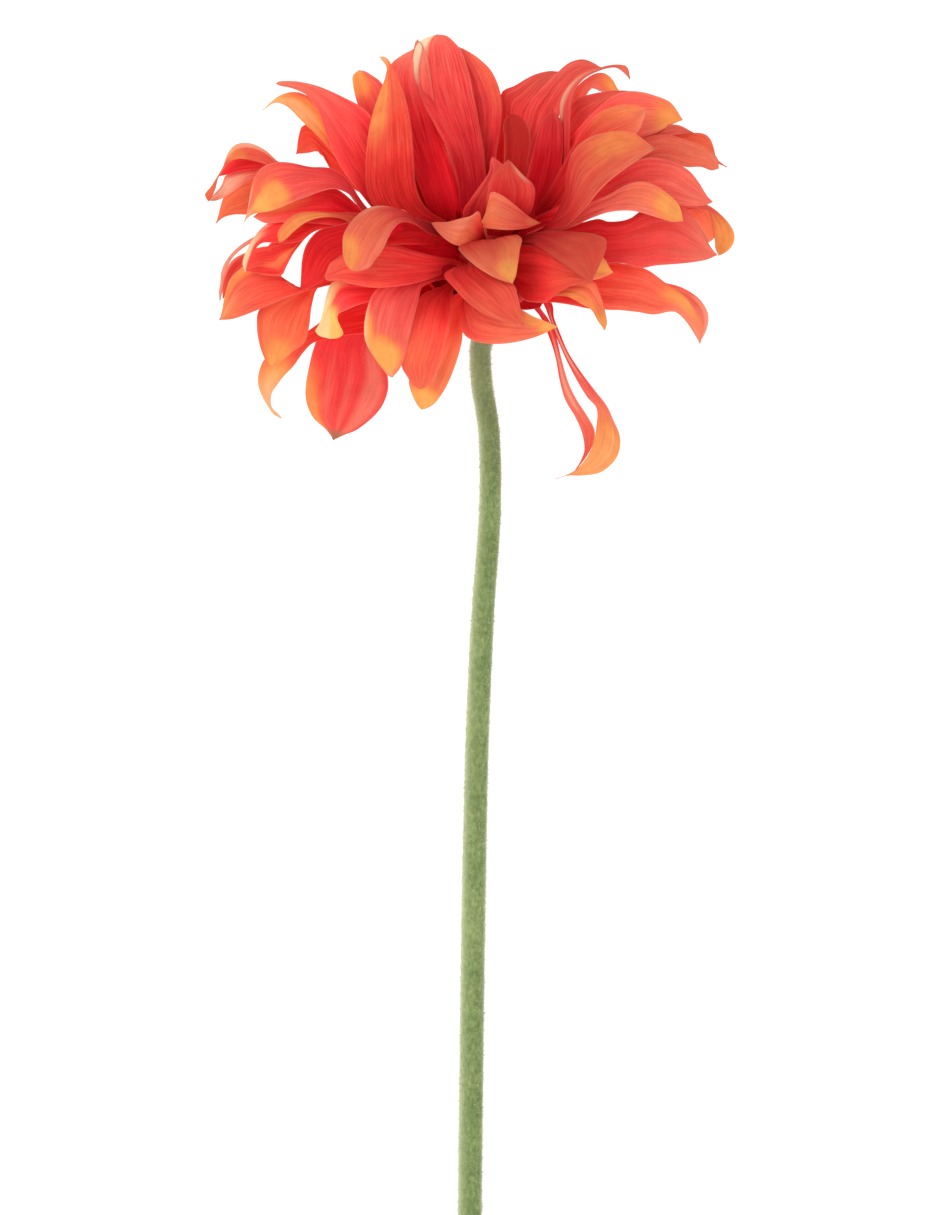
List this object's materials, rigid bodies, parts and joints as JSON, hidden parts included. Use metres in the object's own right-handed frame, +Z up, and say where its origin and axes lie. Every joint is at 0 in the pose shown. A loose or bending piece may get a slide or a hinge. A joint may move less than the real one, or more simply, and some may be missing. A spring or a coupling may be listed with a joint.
{
  "type": "gerbera daisy",
  "caption": "Cut double gerbera with a many-petalled red and orange bloom and a bare green stem, laid down on a flat surface.",
  "frame": {"origin": "centre of the lying flower's bounding box, on the surface it lies on", "axes": "+Y along the stem toward the bloom, +Z up, +X to the right as the picture shows it from above"},
  "size_m": [0.1046, 0.3004, 0.0672],
  "materials": {
    "petals": "soft satin petal, red with orange and cream tips",
    "bracts": "matt green, downy",
    "stem": "olive green, covered in short fine hairs"
  },
  "bodies": {
    "root": {"bloom": "petals", "involucre": "bracts", "stem": "stem"}
  },
  "joints": []
}
